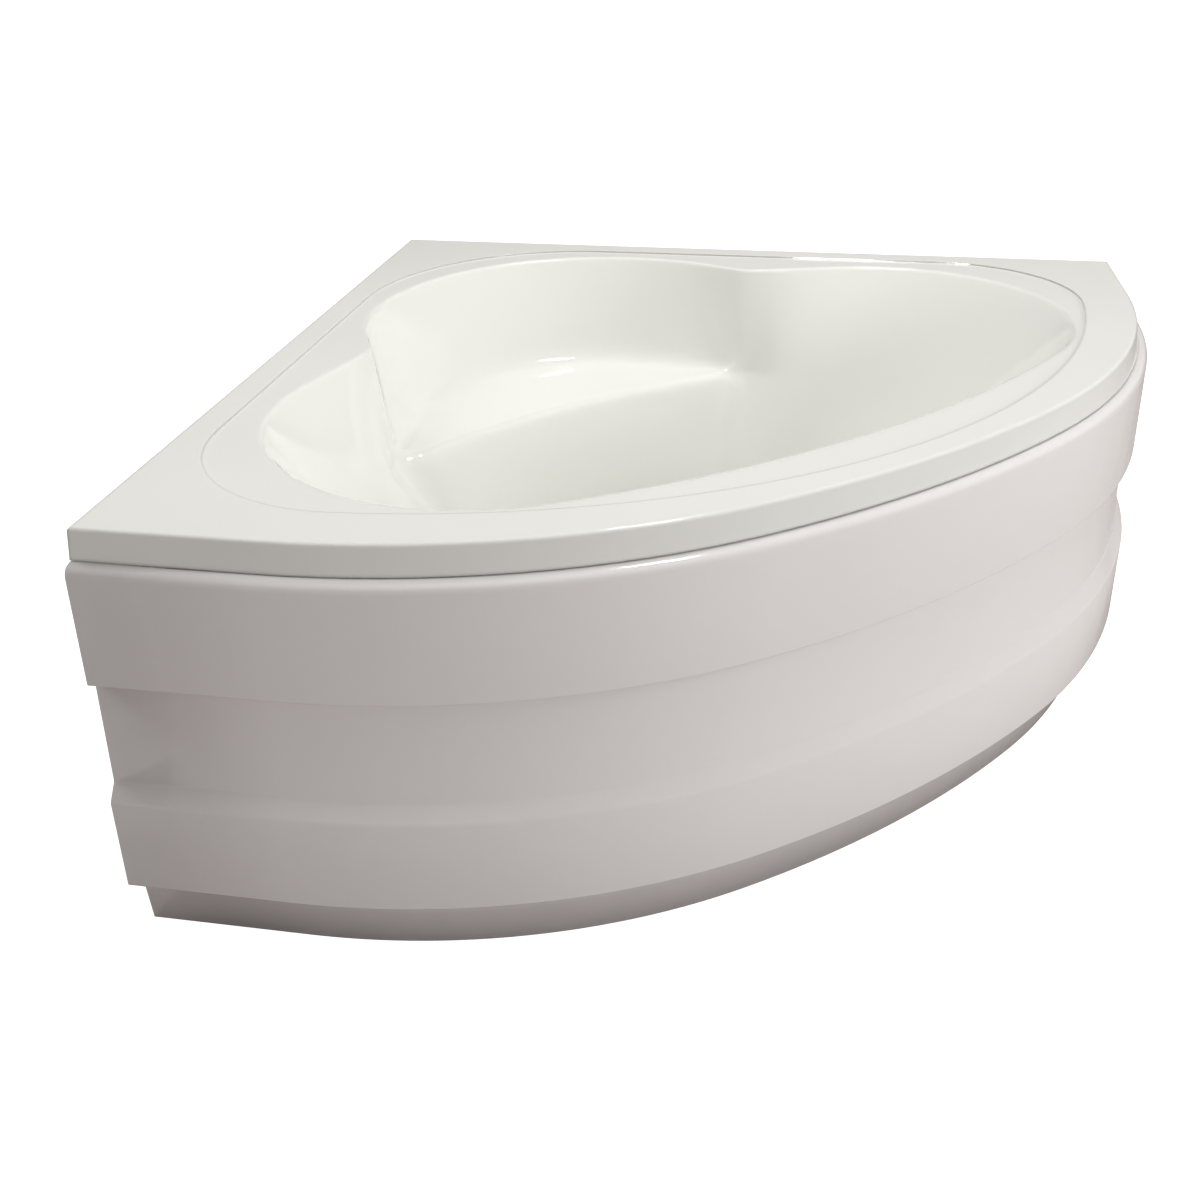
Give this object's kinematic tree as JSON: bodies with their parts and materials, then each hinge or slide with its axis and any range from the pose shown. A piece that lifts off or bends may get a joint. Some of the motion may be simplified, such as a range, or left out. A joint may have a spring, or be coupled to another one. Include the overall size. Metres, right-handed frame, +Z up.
{
  "type": "corner bathtub",
  "caption": "Corner bathtub with a moulded seat, lobed basin, tiered curved front panel, adjustable feet, pop-up waste and overflow.",
  "frame": {"origin": "below the middle of the whole bath's bounding box, on the floor", "axes": "+X along the right-hand wall away from the room corner, +Y toward that wall, +Z up; the room corner is at -X +Y and the curved front faces +X -Y"},
  "size_m": [1.538, 1.538, 0.644],
  "materials": {
    "acrylic": "gloss",
    "panel_acrylic": "gloss",
    "particle_board": "raw",
    "timber": "sawn",
    "zinc_steel": "galvanised",
    "bright_steel": "zinc plated",
    "bracket_steel": "galvanised",
    "spring_steel": "spring temper",
    "black_plastic": "moulded",
    "chrome": "polished",
    "rubber": "moulded",
    "white_plastic": "moulded",
    "grey_plastic": "moulded",
    "cable_sheath": "extruded"
  },
  "bodies": {
    "bath": {"tub_shell": "acrylic", "base_board": "particle_board", "seat_board": "particle_board", "rim_batten_left": "timber", "rim_batten_right": "timber", "clip_blocks": "timber", "back_rail": "zinc_steel", "front_rail": "zinc_steel", "seat_rail": "zinc_steel", "seat_post": "zinc_steel", "panel_strut_left": "zinc_steel", "panel_strut_right": "zinc_steel", "rail_screws": "bright_steel", "bracket_screws": "bright_steel", "clip_screws": "bright_steel", "foot_weld_nuts": "bright_steel", "foot_lock_nuts": "bright_steel", "wall_bracket_left_near": "bracket_steel", "wall_bracket_left_far": "bracket_steel", "wall_bracket_right_near": "bracket_steel", "wall_bracket_right_far": "bracket_steel", "panel_clip_outer_left": "spring_steel", "panel_clip_inner_left": "spring_steel", "panel_clip_inner_right": "spring_steel", "panel_clip_outer_right": "spring_steel", "strut_stop_left": "black_plastic", "strut_stop_right": "black_plastic", "waste_flange": "chrome", "overflow_face": "chrome", "waste_gasket": "rubber", "overflow_gasket": "rubber", "waste_body": "white_plastic", "overflow_housing": "white_plastic", "trap_body": "white_plastic", "outlet_pipe": "white_plastic", "trap_nut": "grey_plastic", "outlet_nut": "grey_plastic", "overflow_pipe": "grey_plastic", "control_cable": "cable_sheath"},
    "front_panel": {"front_panel": "panel_acrylic"},
    "overflow_knob": {"overflow_knob": "chrome"},
    "plug": {"plug_cap": "chrome", "plug_seal": "rubber"},
    "foot_back_left": {"foot_rod_back_left": "bright_steel", "foot_pad_back_left": "black_plastic"},
    "foot_back_right": {"foot_rod_back_right": "bright_steel", "foot_pad_back_right": "black_plastic"},
    "foot_front_left": {"foot_rod_front_left": "bright_steel", "foot_pad_front_left": "black_plastic"},
    "foot_front_right": {"foot_rod_front_right": "bright_steel", "foot_pad_front_right": "black_plastic"},
    "foot_seat": {"foot_rod_seat": "bright_steel", "foot_pad_seat": "black_plastic"}
  },
  "joints": [
    {"name": "knob_turn", "type": "hinge", "parent": "bath", "child": "overflow_knob", "pos_m": [0.22386, -0.22386, 0.565], "axis": [-0.6793, 0.6793, 0.2778], "range_deg": [0, 90]},
    {"name": "plug_lift", "type": "slide", "parent": "bath", "child": "plug", "axis": [0, 0, 1], "range_m": [0, 0.008]},
    {"name": "panel_release", "type": "slide", "parent": "bath", "child": "front_panel", "axis": [0.7071, -0.7071, 0], "range_m": [0, 0.15]},
    {"name": "foot_back_left_height", "type": "slide", "parent": "bath", "child": "foot_back_left", "axis": [0, 0, -1], "range_m": [-0.012, 0.015]},
    {"name": "foot_back_right_height", "type": "slide", "parent": "bath", "child": "foot_back_right", "axis": [0, 0, -1], "range_m": [-0.012, 0.015]},
    {"name": "foot_front_left_height", "type": "slide", "parent": "bath", "child": "foot_front_left", "axis": [0, 0, -1], "range_m": [-0.012, 0.015]},
    {"name": "foot_front_right_height", "type": "slide", "parent": "bath", "child": "foot_front_right", "axis": [0, 0, -1], "range_m": [-0.012, 0.015]},
    {"name": "foot_seat_height", "type": "slide", "parent": "bath", "child": "foot_seat", "axis": [0, 0, -1], "range_m": [-0.012, 0.015]}
  ],
  "couplings": [
    {"joint": "plug_lift", "follows": "knob_turn", "m_per_rad": 0.00509}
  ]
}
